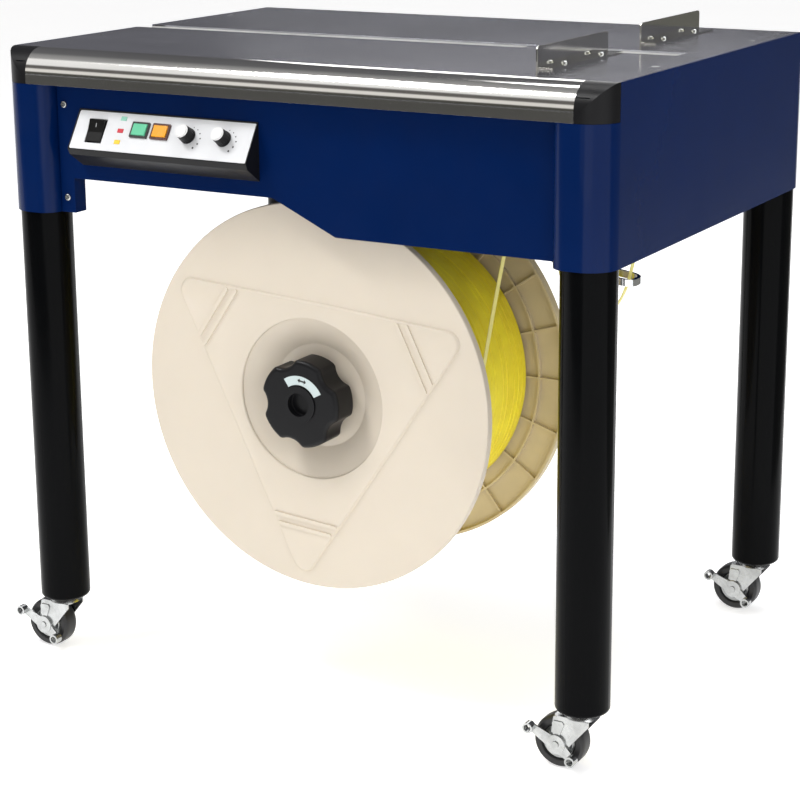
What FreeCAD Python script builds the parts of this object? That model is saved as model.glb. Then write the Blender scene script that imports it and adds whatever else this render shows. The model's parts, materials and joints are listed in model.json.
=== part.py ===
"""Semi automatic strapping machine: a steel table on four castored legs, with a strap reel hung
below it and the sealing head under the table plate.

Millimetres. +X runs right along the front edge and the strap channel, +Y to the back, +Z up.
The origin is on the floor, under the middle of the table.
"""
import FreeCAD
import Part
import math
import os

V = FreeCAD.Vector
X_AXIS = V(1, 0, 0)
Y_AXIS = V(0, 1, 0)
Z_AXIS = V(0, 0, 1)
FIT = 0.05

# ---- table ----
TABLE_L = 774.0
TABLE_W = 594.0
TABLE_H = 750.0
HALF_L = TABLE_L / 2
HALF_W = TABLE_W / 2
PLATE_T = 2.0
NOSE_R = 30.0
NOSE_H = 40.0
CAP_L = 38.0
CHANNEL_FRONT = -30.0
CHANNEL_REAR = 0.0
CHANNEL_DEPTH = 12.0
CHANNEL_END = 348.0
CHANNEL_T = 1.5
SLIDE_X0 = 149.0
SLIDE_X1 = 209.0

# ---- casing ----
SKIN_T = 2.0
POST_W = 66.0
POST_R = 33.0
POST_INNER_R = 20.0
PANEL_BOTTOM = 559.0
PANEL_RECESS = 20.0
PANEL_T = 1.5
PANEL_HALF = 320.0
SCREW_X = 310.0
PANEL_TOP = 712.0
STEP_HIGH = 600.0
STEP_LOW = 563.0
STEP_X0 = -24.0
STEP_X1 = 57.0
TAB_X = -300.0
TAB_FLANGE = 20.0
FLANGE = 15.0

# ---- legs and frame ----
LEG_R = 30.25
LEG_T = 2.5
LEG_X = HALF_L - 33.0
LEG_Y = HALF_W - 33.0
LEG_BOTTOM = 70.0
LEG_TOP = 709.5
SCREW_HOLE_R = 2.6
RAIL = 30.0
RAIL_T = 2.0
RAIL_BOTTOM = 718.0
RAIL_TOP = TABLE_H - PLATE_T
FOOT = 21.0

# ---- casters ----
WHEEL_R = 30.0
WHEEL_W = 24.0
TRAIL = 23.0
AXLE_R = 4.0
STEM_R = 6.0
FORK_T = 2.5
FORK_GAP = 13.5

# ---- console ----
CONSOLE_X0 = -286.0
CONSOLE_X1 = -40.0
FACE_TOP_Z = 681.0
FACE_DROP = 41.0
FACE_OUT = 25.5
CONSOLE_FOOT_Z = 617.0
FACE_T = 1.2
RIM = 1.2

# ---- reel ----
REEL_X = 7.0
REEL_Z = 368.0
REEL_R = 225.0
FRONT_Y = -252.0
REAR_Y = -48.0
SHAFT_R = 10.0
CORE_R = 99.0
COIL_R = 172.0
DISH_R = 91.0
DISH_FLAT_R = 59.0
DISH_DEPTH = 18.0
TRIANGLE_H = 3.0
TRIANGLE_REACH = 222.0
TRIANGLE_DEGREES = (146.0, 266.0, 26.0)
RIB_H = 1.4
KNOB_R = 51.0
KNOB_BACK = -240.0
KNOB_TURN = 112.0
KNOB_FRONT = -280.0

# ---- mechanism ----
TRAY_Z = 606.0
TRAY_T = 6.0
TRAY_X0 = -120.0
TRAY_X1 = 332.0
TRAY_Y = 226.0
HEAD_WALL = 4.5
STRAP_Y = -15.0
CAM_Z = 632.0
CAM_SHAFT_R = 6.0
GUIDE_X = 212.0
GUIDE_Y = -100.0
GUIDE_Z = 640.0
GUIDE_R = 16.5
FEED_X = 276.0
FEED_Z = 672.0
FEED_R = 28.0
PINCH_X = 321.0
PINCH_R = 15.0
DANCER_X = 150.0
DANCER_Z = 585.0
STRAP_W = 9.0
STRAP_T = 0.8

# ---- stop brackets ----
STOP_X = 264.0
STOP_L = 178.0
STOP_FOOT = 20.0
STOP_H = 24.0
STOP_T = 2.0
STOP_FRONT_Y = -209.0
STOP_REAR_Y = 61.0
STOP_SCREW_IN = 10.5
STOP_SCREWS_ALONG = (49.0, 143.0)


# ======== basic shapes ========

def box(x0, x1, y0, y1, z0, z1):
    return Part.makeBox(x1 - x0, y1 - y0, z1 - z0, V(x0, y0, z0))


def rod_x(x0, x1, y, z, r):
    return Part.makeCylinder(r, x1 - x0, V(x0, y, z), X_AXIS)


def rod_y(y0, y1, x, z, r):
    return Part.makeCylinder(r, y1 - y0, V(x, y0, z), Y_AXIS)


def rod_z(z0, z1, x, y, r):
    return Part.makeCylinder(r, z1 - z0, V(x, y, z0), Z_AXIS)


def in_xy(z):
    return lambda u, v: V(u, v, z)


def in_xz(y):
    return lambda u, v: V(u, y, v)


def in_yz(x):
    return lambda u, v: V(x, u, v)


def slab(corners, place, direction):
    """Plate with rounded corners: (u, v, radius) corners, placed by a function, pushed along."""
    edges = []
    count = len(corners)
    starts = []
    ends = []
    for i in range(count):
        u, v, r = corners[i]
        here = place(u, v)
        before = place(*corners[i - 1][:2])
        after = place(*corners[(i + 1) % count][:2])
        if r == 0:
            starts.append(here)
            ends.append(here)
            continue
        to_before = (before - here).normalize()
        to_after = (after - here).normalize()
        half_angle = to_before.getAngle(to_after) / 2
        reach = r / math.tan(half_angle)
        first = here + to_before * reach
        last = here + to_after * reach
        middle_way = (to_before + to_after).normalize()
        middle = here + middle_way * (r / math.sin(half_angle) - r)
        edges.append(Part.Arc(first, middle, last).toShape())
        starts.append(first)
        ends.append(last)
    for i in range(count):
        a = ends[i]
        b = starts[(i + 1) % count]
        if a.distanceToPoint(b) > 1e-6:
            edges.append(Part.makeLine(a, b))
    wire = Part.Wire(Part.__sortEdges__(edges))
    return Part.Face(wire).extrude(direction)


def turned(ry, centre_x, centre_z):
    """Solid turned about a line along Y, from (radius, y) points."""
    points = [V(centre_x + r, y, centre_z) for r, y in ry + ry[:1]]
    face = Part.Face(Part.makePolygon(points))
    return face.revolve(V(centre_x, 0, centre_z), Y_AXIS, 360)


def mirrored(shape, flip_x, flip_y):
    """Copy reflected to another corner of the table."""
    result = shape.copy()
    if flip_x:
        result = result.mirror(V(0, 0, 0), X_AXIS)
    if flip_y:
        result = result.mirror(V(0, 0, 0), Y_AXIS)
    return result


def write(node, *solids):
    shape = solids[0] if len(solids) == 1 else Part.makeCompound(solids)
    shape.exportStep("parts/" + node + ".step")


CORNERS = [
    ("front_left", True, False),
    ("front_right", False, False),
    ("rear_left", True, True),
    ("rear_right", False, True),
]


# ======== table ========

def nose_outline(inset):
    """Side view of the rolled table edge at the front, as (y, z, radius) corners."""
    front = -HALF_W + inset
    top = TABLE_H - inset
    return [
        (-HALF_W + NOSE_R, top, 0),
        (front, top, NOSE_R - inset),
        (front, TABLE_H - NOSE_H, 0),
    ]


def table_screw_places():
    return [(x, y) for x in (-366.0, 366.0) for y in (-132.0, 150.0)]


def table_top():
    nose_x = HALF_L - CAP_L
    back = -HALF_W + NOSE_R
    outer = slab(nose_outline(0) + [(back, TABLE_H - NOSE_H, 0)], in_yz(-nose_x), V(2 * nose_x, 0, 0))
    inner = slab(nose_outline(PLATE_T) + [(back, TABLE_H - NOSE_H, 0)], in_yz(-nose_x), V(2 * nose_x, 0, 0))
    nose = outer.cut(inner)
    lip = box(-nose_x, nose_x, -HALF_W, -HALF_W + 9, TABLE_H - NOSE_H, TABLE_H - NOSE_H + PLATE_T)
    nose = nose.fuse(lip)
    skin = SKIN_T + 0.2
    plate = box(-HALF_L + skin, HALF_L - skin, back, -back, RAIL_TOP, TABLE_H)
    top = plate.fuse([nose, mirrored(nose, False, True)])
    channel = box(-HALF_L - 1, CHANNEL_END, CHANNEL_FRONT, CHANNEL_REAR, RAIL_TOP - 1, TABLE_H + 1)
    top = top.cut(channel)
    for x, y in table_screw_places():
        top = top.cut(countersunk(x, y, FIT))
    return top.removeSplitter()


def countersunk(x, y, extra):
    """Countersunk screw, flush with the table."""
    cone = Part.makeCone(2.6 + extra, 4.6 + extra, 2.0, V(x, y, TABLE_H - 2.0), Z_AXIS)
    return cone.fuse(rod_z(TABLE_H - 9, TABLE_H - 2, x, y, 2.6 + extra))


def screw_slot(x, y, z):
    return box(x - 2.6, x + 2.6, y - 0.4, y + 0.4, z - 0.8, z + 0.1)


def table_screws():
    screws = []
    for x, y in table_screw_places():
        screws.append(countersunk(x, y, 0).cut(screw_slot(x, y, TABLE_H)))
    return screws


def channel_part(x0, x1):
    """Trough under the gap in the table: a floor strip with a guide strip on each side of it."""
    z0 = TABLE_H - CHANNEL_DEPTH
    floor = box(x0, x1, CHANNEL_FRONT - CHANNEL_T, CHANNEL_REAR + CHANNEL_T, z0 - CHANNEL_T, z0)
    front = box(x0, x1, CHANNEL_FRONT - CHANNEL_T, CHANNEL_FRONT, z0, RAIL_TOP)
    rear = box(x0, x1, CHANNEL_REAR, CHANNEL_REAR + CHANNEL_T, z0, RAIL_TOP)
    return [floor, front, rear]


def channel_end_stop():
    """Strip that shuts the right end of the trough."""
    x0 = CHANNEL_END - CHANNEL_T
    return box(x0, CHANNEL_END, CHANNEL_FRONT, CHANNEL_REAR, TABLE_H - CHANNEL_DEPTH, RAIL_TOP)


def corner_cap():
    """Moulded cap on the front right corner: the rolled edge carried round the corner post."""
    y0 = -HALF_W
    x0 = HALF_L - CAP_L
    back = y0 + NOSE_R
    bar = slab(nose_outline(0) + [(back, TABLE_H - NOSE_H, 0)], in_yz(x0), V(CAP_L + 5, 0, 0))
    plan = slab([(x0, y0, 0), (HALF_L, y0, POST_R), (HALF_L, back + 10, 0), (x0, back + 10, 0)],
                in_xy(TABLE_H - NOSE_H), V(0, 0, NOSE_H + 1))
    solid = bar.common(plan)
    hollow = box(x0 - 1, HALF_L - 4, y0 + 4, back + 1, TABLE_H - NOSE_H - 1, TABLE_H - 14)
    hollow = hollow.common(rod_z(TABLE_H - NOSE_H - 1, TABLE_H, LEG_X, -LEG_Y, LEG_R + 0.5)
                           .fuse(box(x0 - 1, LEG_X, y0 + 6, back + 1, TABLE_H - NOSE_H - 1, TABLE_H)))
    return solid.cut(hollow)


# ======== casing ========

def post_outline(inset):
    """Plan of the front right corner post, open towards the back."""
    x0 = HALF_L - POST_W + inset
    x1 = HALF_L - inset
    y0 = -HALF_W + inset
    y1 = -LEG_Y + (1 if inset else 0)
    return [(x0, y0, POST_INNER_R - inset), (x1, y0, POST_R - inset), (x1, y1, 0), (x0, y1, 0)]


def right_side_panel():
    """Side sheet wrapped round the front and rear legs."""
    height = TABLE_H - NOSE_H - PANEL_BOTTOM - 0.3
    outer = slab(post_outline(0), in_xy(PANEL_BOTTOM), V(0, 0, height))
    inner = slab(post_outline(SKIN_T), in_xy(PANEL_BOTTOM - 1), V(0, 0, height + 2))
    post = outer.cut(inner)
    flat = box(HALF_L - SKIN_T, HALF_L, -LEG_Y, LEG_Y, PANEL_BOTTOM, TABLE_H)
    cap_end = HALF_W - NOSE_R - 0.3
    upper = box(HALF_L - SKIN_T, HALF_L, -cap_end, cap_end, PANEL_BOTTOM + height, TABLE_H)
    return flat.fuse([upper, post, mirrored(post, False, True)]).removeSplitter()


def left_side_panel():
    """Left sheet, raised between its posts and notched where the strap channel runs out."""
    sheet = mirrored(right_side_panel(), True, False)
    reach = HALF_W - POST_W
    rise = slab([(-reach, PANEL_BOTTOM - 1, 0), (reach, PANEL_BOTTOM - 1, 0), (reach, STEP_HIGH, 8),
                 (-reach, STEP_HIGH, 8)], in_yz(-HALF_L - 1), V(4, 0, 0))
    sheet = sheet.cut(rise)
    notch = box(-HALF_L - 1, -HALF_L + 3, CHANNEL_FRONT - CHANNEL_T, CHANNEL_REAR + CHANNEL_T,
                TABLE_H - CHANNEL_DEPTH - CHANNEL_T, TABLE_H + 1)
    return sheet.cut(notch)


def pan(corners, y0, depth):
    """Folded sheet panel: a face with flanges turned back all round."""
    face = slab(corners, in_xz(y0), V(0, PANEL_T, 0))
    outer = slab(corners, in_xz(y0), V(0, depth, 0))
    wire = next(f for f in outer.Faces if abs(f.BoundBox.YMax - y0) < 1e-6).OuterWire
    hollow = Part.Face(wire.makeOffset2D(-PANEL_T, 2)).extrude(V(0, depth + 1, 0))
    return outer.cut(hollow).fuse(face)


def panel_screw_places(side):
    """(x, z) of the screws; the front panel's right end is hooked in and has none."""
    ends = (-SCREW_X,) if side < 0 else (-SCREW_X, SCREW_X)
    return [(x, z) for x in ends for z in (577.0, 686.0)]


def front_panel():
    y0 = -HALF_W + PANEL_RECESS
    corners = [
        (-PANEL_HALF, PANEL_TOP, 0),
        (-PANEL_HALF, PANEL_BOTTOM, 0),
        (TAB_X, PANEL_BOTTOM, 0),
        (TAB_X, STEP_HIGH, 0),
        (STEP_X0, STEP_HIGH, 8),
        (STEP_X1, STEP_LOW, 8),
        (PANEL_HALF, STEP_LOW, 0),
        (PANEL_HALF, PANEL_TOP, 0),
    ]
    panel = pan(corners, y0, FLANGE)
    tab_flange = box(TAB_X - PANEL_T, TAB_X, y0, y0 + TAB_FLANGE, PANEL_BOTTOM, STEP_HIGH)
    panel = panel.fuse(tab_flange)
    for x, z in panel_screw_places(-1):
        panel = panel.cut(rod_y(y0 - 1, y0 + PANEL_T + 1, x, z, SCREW_HOLE_R))
    opening = box(CONSOLE_X0 + 12, CONSOLE_X1 - 12, y0 - 1, y0 + PANEL_T + 1,
                  CONSOLE_FOOT_Z + 12, FACE_TOP_Z - 10)
    return panel.cut(opening).removeSplitter()


def rear_panel():
    y0 = HALF_W - PANEL_RECESS
    corners = [
        (-PANEL_HALF, STEP_LOW, 0),
        (PANEL_HALF, STEP_LOW, 0),
        (PANEL_HALF, PANEL_TOP, 0),
        (-PANEL_HALF, PANEL_TOP, 0),
    ]
    panel = mirrored(pan(corners, -y0, FLANGE), False, True)
    for i in range(9):
        x = -220.0 + 55.0 * i
        slot = slab([(x - 19, 640, 3), (x + 19, 640, 3), (x + 19, 646, 3), (x - 19, 646, 3)],
                    in_xz(y0 - 5), V(0, 10, 0))
        for lift in (0, 14, 28):
            panel = panel.cut(slot.translated(V(0, 0, lift)))
    for x, z in panel_screw_places(1):
        panel = panel.cut(rod_y(y0 - PANEL_T - 1, y0 + 1, x, z, SCREW_HOLE_R))
    return panel


def pan_screw():
    """Pan-head screw standing on the origin, head up."""
    head = rod_z(0, 2.6, 0, 0, 4.2)
    head = head.makeFillet(1.6, [e for e in head.Edges if e.BoundBox.ZMin > 2.5])
    cross = box(-2.2, 2.2, -0.5, 0.5, 1.4, 3).fuse(box(-0.5, 0.5, -2.2, 2.2, 1.4, 3))
    return head.cut(cross).fuse(rod_z(-6, 0, 0, 0, 2.5))


def pan_screws():
    """Screws of the stop brackets and of the front and rear panels."""
    screws = [pan_screw().translated(V(x, y, TABLE_H + STOP_T)) for x, y in bracket_screw_places()]
    panel_y = HALF_W - PANEL_RECESS
    for side in (-1, 1):
        turn = FreeCAD.Rotation(X_AXIS, -90 * side)
        for x, z in panel_screw_places(side):
            place = FreeCAD.Placement(V(x, side * panel_y, z), turn)
            screws.append(pan_screw().transformed(place.toMatrix()))
    return screws


# ======== legs and frame ========

def leg():
    """Round tube on the front right corner, closed at the foot round the caster's stem."""
    tube = rod_z(LEG_BOTTOM, LEG_TOP, LEG_X, -LEG_Y, LEG_R)
    tube = tube.makeFillet(5, [e for e in tube.Edges if e.BoundBox.ZMax < LEG_BOTTOM + 0.1])
    tube = tube.cut(rod_z(LEG_BOTTOM + 34, LEG_TOP + 1, LEG_X, -LEG_Y, LEG_R - LEG_T))
    return tube.cut(rod_z(LEG_BOTTOM - 1, LEG_BOTTOM + 30, LEG_X, -LEG_Y, STEM_R))


def rail_section(length, along_x):
    """Inverted channel bar from the origin, with its top face shut."""
    height = RAIL_TOP - RAIL_BOTTOM
    if along_x:
        bar = box(0, length, 0, RAIL, 0, height)
        return bar.cut(box(-1, length + 1, RAIL_T, RAIL - RAIL_T, -1, height - RAIL_T))
    bar = box(0, RAIL, 0, length, 0, height)
    return bar.cut(box(RAIL_T, RAIL - RAIL_T, -1, length + 1, -1, height - RAIL_T))


def frame_side_rails():
    """Two bars over the leg tops, each with a foot plate welded on at both ends."""
    rails = []
    reach = LEG_Y - 3
    for side in (-1, 1):
        x0 = 352.0 if side > 0 else -352.0 - RAIL
        rail = rail_section(2 * reach, False).translated(V(x0, -reach, RAIL_BOTTOM))
        for end in (-1, 1):
            foot = box(side * LEG_X - FOOT, side * LEG_X + FOOT, end * LEG_Y - FOOT, end * LEG_Y + FOOT,
                       LEG_TOP, RAIL_BOTTOM)
            rail = rail.fuse(foot)
        for x, y in table_screw_places():
            rail = rail.cut(rod_z(RAIL_TOP - 10, RAIL_TOP + 1, x, y, SCREW_HOLE_R))
        if side < 0:
            rail = rail.cut(box(x0 - 1, x0 + RAIL + 1, CHANNEL_FRONT - 2, CHANNEL_REAR + 2,
                                TABLE_H - CHANNEL_DEPTH - 2, TABLE_H))
        rails.append(rail)
    return rails


def frame_cross_rails():
    """Two bars along the front and the back, between the side rails."""
    rails = []
    for y0 in (-TRAY_Y - RAIL, TRAY_Y):
        rails.append(rail_section(2 * 351.5, True).translated(V(-351.5, y0, RAIL_BOTTOM)))
    return rails


# ======== stop brackets ========

def bracket_screw_places():
    """(x, y) of the two screws in the foot of each stop bracket."""
    x = STOP_X + STOP_SCREW_IN
    return [(x, y0 + along) for y0 in (STOP_FRONT_Y, STOP_REAR_Y) for along in STOP_SCREWS_ALONG]


def stop_bracket(y0):
    """Angle plate that a parcel is pushed against."""
    y1 = y0 + STOP_L
    section = [
        (STOP_X, TABLE_H, 0),
        (STOP_X + STOP_FOOT, TABLE_H, 0),
        (STOP_X + STOP_FOOT, TABLE_H + STOP_T, 0),
        (STOP_X + STOP_T, TABLE_H + STOP_T, 1),
        (STOP_X + STOP_T, TABLE_H + STOP_H, 0),
        (STOP_X, TABLE_H + STOP_H, 0),
    ]
    bracket = slab(section, in_xz(y0), V(0, STOP_L, 0))
    ends = slab([(y0, TABLE_H, 0), (y1, TABLE_H, 0), (y1, TABLE_H + STOP_H, 4), (y0, TABLE_H + STOP_H, 4)],
                in_yz(STOP_X - 1), V(STOP_FOOT + 2, 0, 0))
    bracket = bracket.common(ends)
    for x, y in bracket_screw_places():
        bracket = bracket.cut(rod_z(TABLE_H - 1, TABLE_H + STOP_T + 1, x, y, SCREW_HOLE_R))
    return bracket


def bracket_screw_holes(top):
    for x, y in bracket_screw_places():
        top = top.cut(rod_z(TABLE_H - 10, TABLE_H + 1, x, y, SCREW_HOLE_R))
    return top


# ======== console ========

FACE_SLANT = math.hypot(FACE_DROP, FACE_OUT)
FACE_TILT = math.degrees(math.atan2(FACE_OUT, FACE_DROP))
PANEL_Y = -HALF_W + PANEL_RECESS


def on_face(shape):
    """Move a shape from face coordinates to the sloped face.

    In face coordinates X is along the machine, Y runs up the slope to its top edge at 0, and +Z
    stands out of the face.
    """
    turn = FreeCAD.Rotation(X_AXIS, 90 - FACE_TILT)
    place = FreeCAD.Placement(V(0, PANEL_Y, FACE_TOP_Z), turn)
    return shape.transformed(place.toMatrix())


def console_outline():
    """Side view of the console wedge, flat against the panel at the back."""
    top = FACE_TOP_Z
    return [
        (PANEL_Y, top + 2, 0),
        (PANEL_Y - 1.2, top + 2, 0),
        (PANEL_Y - FACE_OUT - 1.5, top - FACE_DROP + 0.5, 1.5),
        (PANEL_Y - FACE_OUT + 2, top - FACE_DROP - 7, 4),
        (PANEL_Y, CONSOLE_FOOT_Z, 0),
    ]


ROCKER = (-254.0, -24.5, 23.0, 29.0)
ROCKER_AXIS_Z = -2.0
ROCKER_PIN_R = 1.2
LAMPS = [(-220.0, -7.0), (-220.0, -22.0), (-220.0, -36.0)]
LAMP_SIZE = (8.0, 5.0)
BUTTONS = {"feed_button": (-193.0, -19.5), "reset_button": (-164.5, -19.5)}
BUTTON_W = 21.0
BUTTON_H = 16.0
KNOBS = {"feed_knob": (-126.0, -21.7), "tension_knob": (-78.0, -21.7)}
DIAL_R = 9.5
DIAL_H = 14.5
DIAL_CAP_R = 6.6
DIAL_SHAFT_R = 3.0


def face_box(x, y, width, height, z0, z1):
    return box(x - width / 2, x + width / 2, y - height / 2, y + height / 2, z0, z1)


def face_openings(margin):
    """Cutters for everything that passes through the sloped face."""
    cutters = [face_box(*ROCKER[:2], ROCKER[2] + margin, ROCKER[3] + margin, -14, 6)]
    for x, y in LAMPS:
        cutters.append(face_box(x, y, LAMP_SIZE[0] + 2 * FIT, LAMP_SIZE[1] + 2 * FIT, -14, 6))
    for x, y in BUTTONS.values():
        cutters.append(face_box(x, y, BUTTON_W + margin, BUTTON_H + margin, -14, 6))
    for x, y in KNOBS.values():
        cutters.append(rod_z(-14, 6, x, y, DIAL_SHAFT_R + FIT))
    return cutters


def console_housing():
    """Moulded wedge, hollow from behind."""
    width = CONSOLE_X1 - CONSOLE_X0
    wedge = slab(console_outline(), in_yz(CONSOLE_X0), V(width, 0, 0))
    hollow = [
        (PANEL_Y + 1, FACE_TOP_Z - 9, 0),
        (PANEL_Y - 0.5, FACE_TOP_Z - 9, 0),
        (PANEL_Y - FACE_OUT + 5, FACE_TOP_Z - FACE_DROP - 2, 0),
        (PANEL_Y + 1, CONSOLE_FOOT_Z + 6, 0),
    ]
    wedge = wedge.cut(slab(hollow, in_yz(CONSOLE_X0 + 3), V(width - 6, 0, 0)))
    seat = on_face(box(CONSOLE_X0 + RIM, CONSOLE_X1 - RIM, -FACE_SLANT, 0, 0, 12))
    wedge = wedge.cut(seat)
    for cutter in face_openings(1.0):
        wedge = wedge.cut(on_face(cutter))
    x, y, width, _ = ROCKER
    pin = rod_x(x - width / 2 - 1.5, x + width / 2 + 1.5, y, ROCKER_AXIS_Z, ROCKER_PIN_R)
    return wedge.fuse(on_face(pin))


def console_face():
    """Thin plate in the housing's recess, with openings for the controls."""
    x0 = CONSOLE_X0 + RIM + 0.2
    x1 = CONSOLE_X1 - RIM - 0.2
    outline = [(x0, -FACE_SLANT + 0.3, 2), (x1, -FACE_SLANT + 0.3, 2), (x1, -0.3, 2), (x0, -0.3, 2)]
    plate = slab(outline, in_xy(0), V(0, 0, FACE_T))
    for cutter in face_openings(1.0):
        plate = plate.cut(cutter)
    return on_face(plate)


def rocker_switch():
    """Rocker cap, high on its upper half, turning on a pin across its middle."""
    x, y, width, height = ROCKER
    half = height / 2 - 1.2
    side = [(y - half, -3, 0), (y - half, 1.8, 1), (y - 2, 2.2, 3), (y + half, 5.4, 1), (y + half, -3, 0),
            (y + 4, -3, 0), (y + 4, -5, 0), (y - 4, -5, 0), (y - 4, -3, 0)]
    cap = slab(side, in_yz(x - width / 2 + 0.8), V(width - 1.6, 0, 0))
    bore = rod_x(x - width, x + width, y, ROCKER_AXIS_Z, ROCKER_PIN_R + FIT)
    return on_face(cap.cut(bore))


def indicator_lamps():
    lamps = []
    for x, y in LAMPS:
        lens = face_box(x, y, *LAMP_SIZE, -2, FACE_T + 0.6)
        lens = lens.makeFillet(0.5, [e for e in lens.Edges if e.BoundBox.ZMin > FACE_T + 0.5])
        lamps.append(on_face(lens))
    return lamps


def push_button(node):
    """Square key that stands out of its opening by its travel and a little more."""
    x, y = BUTTONS[node]
    key = face_box(x, y, BUTTON_W - 2, BUTTON_H - 2, -4, FACE_T + 3.4)
    key = key.makeFillet(1.0, [e for e in key.Edges if e.BoundBox.ZMin > FACE_T + 3.3])
    return on_face(key)


def dial_knob(node):
    """Fluted skirt, turned cap and shaft."""
    x, y = KNOBS[node]
    foot = FACE_T + 0.5
    skirt = Part.makeCone(DIAL_R, DIAL_R - 1.4, DIAL_H, V(x, y, foot), Z_AXIS)
    for i in range(16):
        angle = 2 * math.pi * i / 16
        skirt = skirt.cut(rod_z(foot + 2.5, foot + DIAL_H + 1, x + (DIAL_R + 0.2) * math.cos(angle),
                                y + (DIAL_R + 0.2) * math.sin(angle), 1.1))
    cap = rod_z(foot + DIAL_H, foot + DIAL_H + 1.2, x, y, DIAL_CAP_R)
    return on_face(skirt.fuse([cap, rod_z(-10, foot, x, y, DIAL_SHAFT_R)]))


# ======== casters ========

def caster_stem():
    """Fixed half of the front right caster: threaded stem and upper bearing ring."""
    ring = rod_z(66.6, LEG_BOTTOM, LEG_X, -LEG_Y, 17.0)
    return ring.fuse(rod_z(LEG_BOTTOM, LEG_BOTTOM + 28, LEG_X, -LEG_Y, STEM_R))


def caster_fork(cx, cy):
    """Swivel plate with two tapered cheeks and the axle."""
    ax = cx - TRAIL
    plate = slab([(cx - 27, cy - FORK_GAP - FORK_T, 5), (cx + 15, cy - FORK_GAP - FORK_T, 9),
                  (cx + 15, cy + FORK_GAP + FORK_T, 9), (cx - 27, cy + FORK_GAP + FORK_T, 5)],
                 in_xy(61.0), V(0, 0, 2.0))
    race = Part.makeCone(20.0, 18.0, 3.3, V(cx, cy, 63.0), Z_AXIS)
    race = race.cut(rod_z(64.5, 70, cx, cy, 14.0))
    fork = plate.fuse([race, rod_y(cy - FORK_GAP - 7.0, cy + FORK_GAP + 5.0, ax, WHEEL_R, AXLE_R)])
    cheek_outline = [(cx - 27, 62, 2), (ax - 9, WHEEL_R - 8, 7), (ax + 9, WHEEL_R - 8, 7), (cx + 14, 56, 3),
                     (cx + 14, 62, 0)]
    for y0 in (cy - FORK_GAP - FORK_T, cy + FORK_GAP):
        cheek = slab(cheek_outline, in_xz(y0), V(0, FORK_T, 0))
        fork = fork.fuse(cheek)
    nut = rod_y(cy + FORK_GAP + FORK_T, cy + FORK_GAP + FORK_T + 3.5, ax, WHEEL_R, 6.5)
    return fork.fuse(nut)


def caster_wheel(cx, cy):
    """Tyre with rounded shoulders and a recessed hub, bored for the axle."""
    half = WHEEL_W / 2
    hub = half - 3.0
    y0 = cy - half
    y1 = cy + half
    outline = [
        (AXLE_R + FIT, cy - hub - 2.5), (9.0, cy - hub - 2.5), (10.0, cy - hub), (19.0, cy - hub),
        (21.0, y0), (WHEEL_R - 3.0, y0), (WHEEL_R - 0.6, y0 + 3.5), (WHEEL_R, cy - 5),
        (WHEEL_R, cy + 5), (WHEEL_R - 0.6, y1 - 3.5), (WHEEL_R - 3.0, y1), (21.0, y1), (19.0, cy + hub),
        (10.0, cy + hub), (9.0, cy + hub + 2.5), (AXLE_R + FIT, cy + hub + 2.5),
    ]
    return turned(outline, cx - TRAIL, WHEEL_R)


def brake_lever(cx, cy):
    """Two-armed rocker on the front end of the axle, with a curled pad at each end."""
    ax = cx - TRAIL
    y1 = cy - FORK_GAP - FORK_T - 0.4
    y0 = y1 - 2.2
    boss = rod_y(y0 - 0.6, y1, ax, WHEEL_R, 11.0)
    lever = boss
    for reach, lift, y_pad in ((-31.0, 15.0, y0 - 7.0), (20.0, -14.0, y0 - 7.0)):
        length = math.hypot(reach, lift)
        along = V(reach / length, 0, lift / length)
        across = V(-along.z, 0, along.x)
        root = V(ax, y0, WHEEL_R)
        corners = [root + across * 8, root + along * length + across * 4.5,
                   root + along * length - across * 4.5, root - across * 8]
        arm = Part.Face(Part.makePolygon(corners + corners[:1])).extrude(V(0, 2.2, 0))
        tip = root + along * length
        pad = Part.makeCylinder(6.0, 13.0, V(tip.x, y_pad, tip.z), Y_AXIS)
        pad = pad.cut(Part.makeCylinder(4.0, 15.0, V(tip.x, y_pad - 1, tip.z), Y_AXIS))
        front_half = box(tip.x - 8, tip.x + 8, y_pad - 2, y0 + 2.2, tip.z - 8, tip.z + 8)
        lever = lever.fuse([arm, pad.common(front_half)])
    return lever.cut(rod_y(y0 - 5, y1 + 1, ax, WHEEL_R, AXLE_R + FIT))


# ======== reel ========

def triangle_plate(reach, y):
    """Raised triangle of the front flange, one corner down, from the given Y back into the disc."""
    corners = []
    for degrees in TRIANGLE_DEGREES:
        angle = math.radians(degrees)
        corners.append((REEL_X + reach * math.cos(angle), REEL_Z + reach * math.sin(angle), 14.0))
    return slab(corners, in_xz(y), V(0, FRONT_Y - y + 1.0, 0))


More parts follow.
